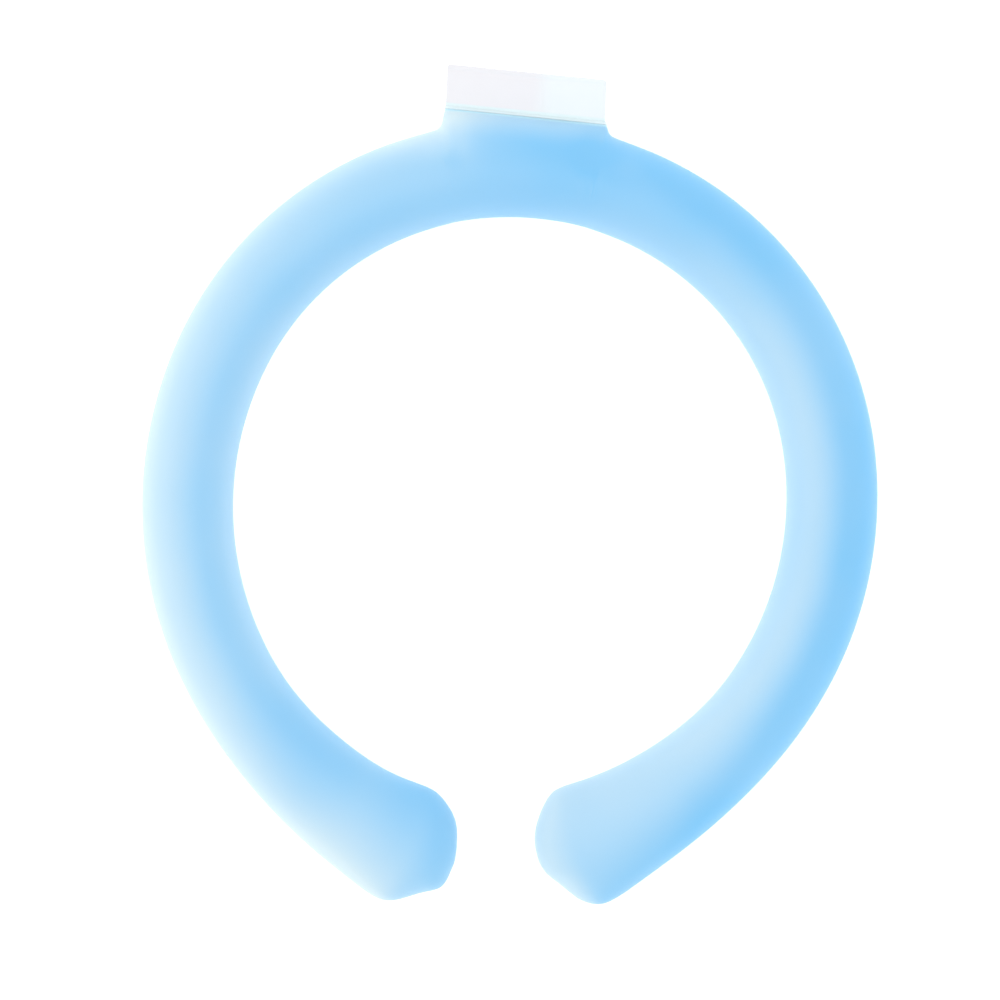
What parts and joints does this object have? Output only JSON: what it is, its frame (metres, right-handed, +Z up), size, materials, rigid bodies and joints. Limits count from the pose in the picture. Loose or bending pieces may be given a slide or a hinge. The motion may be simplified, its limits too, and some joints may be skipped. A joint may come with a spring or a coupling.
{
  "type": "cooling neck ring",
  "caption": "Soft C-shaped tube of clear film filled with pale blue gel, open at the throat, with a flat welded tab at the nape. It is worn round the neck to cool it.",
  "frame": {"origin": "middle of the underside of the ring's box, on the surface that the ring lies on", "axes": "+Z up out of the lying ring, +Y from the gap at the throat to the welded tab at the nape"},
  "size_m": [0.1502, 0.1712, 0.0178],
  "materials": {
    "clear_film": "soft satin film, clear to slightly milky",
    "blue_gel": "smooth pale blue gel seen through the film"
  },
  "bodies": {
    "root": {"film_tube": "clear_film", "cooling_gel": "blue_gel"}
  },
  "joints": []
}
